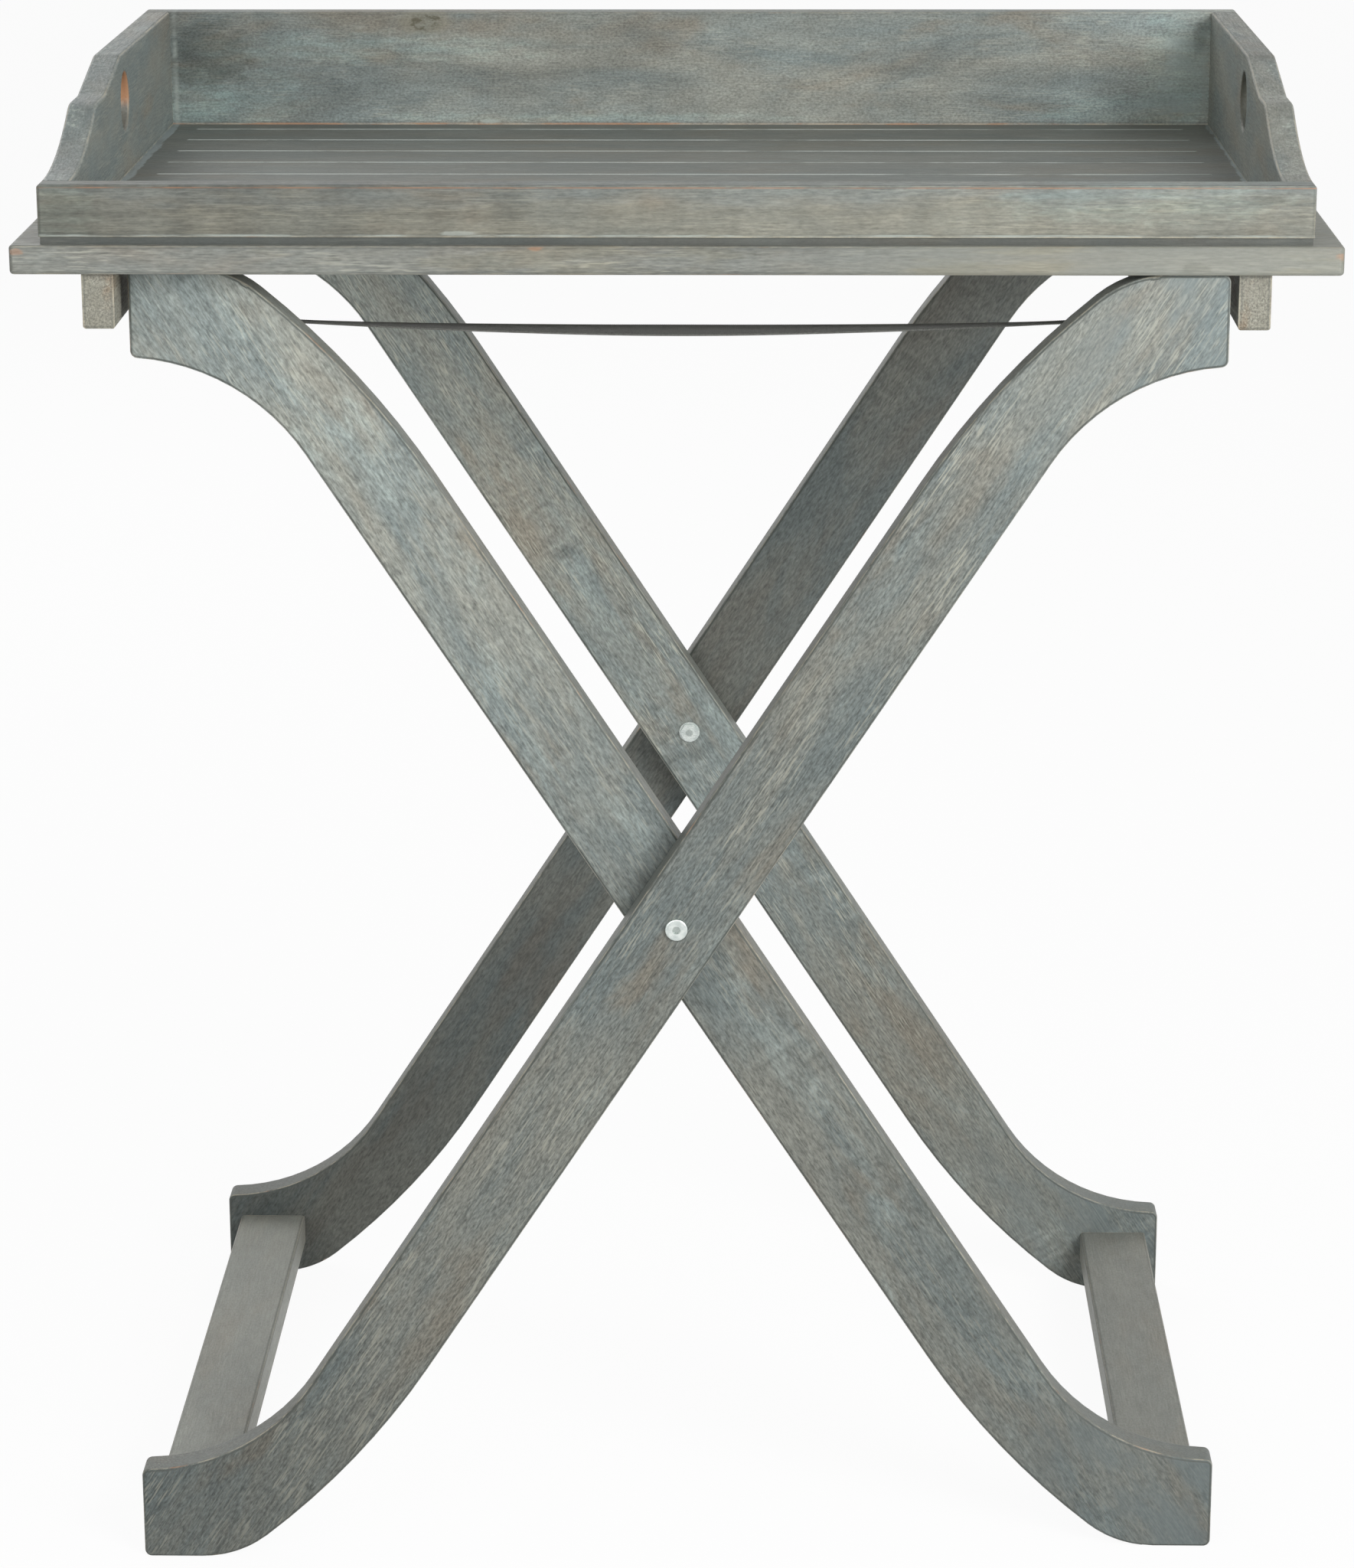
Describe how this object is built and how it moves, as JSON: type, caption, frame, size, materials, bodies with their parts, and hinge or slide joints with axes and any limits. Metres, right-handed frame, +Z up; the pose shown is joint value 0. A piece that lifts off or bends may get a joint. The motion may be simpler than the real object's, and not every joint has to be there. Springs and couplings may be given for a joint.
{
  "type": "tray table",
  "caption": "Folding tray table: crossed leg frames on a pivot, webbing straps, a board on top and a shallow tray with a raised back.",
  "frame": {"origin": "on the floor under the middle of the table", "axes": "+X to the right, +Y to the back where the tray's high wall is, +Z up"},
  "size_m": [0.7, 0.45, 0.8282],
  "materials": {
    "leg_wood": "satin",
    "rail_wood": "satin",
    "top_wood": "satin",
    "cleat_wood": "satin",
    "floor_wood": "satin",
    "dowel_wood": "matte",
    "zinc_steel": "satin",
    "strap_webbing": "matte"
  },
  "bodies": {
    "outer_frame": {"outer_front_leg": "leg_wood", "outer_back_leg": "leg_wood", "outer_top_rail": "rail_wood", "outer_bottom_rail": "rail_wood", "outer_rail_dowels": "dowel_wood", "front_pivot_bolt": "zinc_steel", "back_pivot_bolt": "zinc_steel", "front_pivot_nut": "zinc_steel", "back_pivot_nut": "zinc_steel", "front_pivot_washer": "zinc_steel", "back_pivot_washer": "zinc_steel", "front_strap": "strap_webbing", "back_strap": "strap_webbing", "outer_strap_tacks": "zinc_steel"},
    "inner_frame": {"inner_front_leg": "leg_wood", "inner_back_leg": "leg_wood", "inner_top_rail": "rail_wood", "inner_bottom_rail": "rail_wood", "inner_rail_dowels": "dowel_wood", "inner_strap_tacks": "zinc_steel"},
    "board": {"table_board": "top_wood", "left_cleat": "cleat_wood", "right_cleat": "cleat_wood", "cleat_screws": "zinc_steel"},
    "tray": {"tray_floor": "floor_wood", "tray_front_wall": "top_wood", "tray_back_wall": "top_wood", "tray_left_wall": "top_wood", "tray_right_wall": "top_wood", "tray_corner_dowels": "dowel_wood", "tray_floor_screws": "zinc_steel"}
  },
  "joints": [
    {"name": "frame_fold", "type": "hinge", "parent": "outer_frame", "child": "inner_frame", "pos_m": [0, 0, 0.379], "axis": [0, 1, 0], "range_deg": [0, 66], "deforming": ["front_strap", "back_strap"]},
    {"name": "board_lift", "type": "slide", "parent": "outer_frame", "child": "board", "axis": [0, 0, 1], "range_m": [0, 0.41]},
    {"name": "tray_lift", "type": "slide", "parent": "board", "child": "tray", "axis": [0, 0, 1], "range_m": [0, 0.15]}
  ],
  "couplings": [
    {"joint": "board_lift", "follows": "frame_fold", "m_per_rad": 0.35}
  ]
}
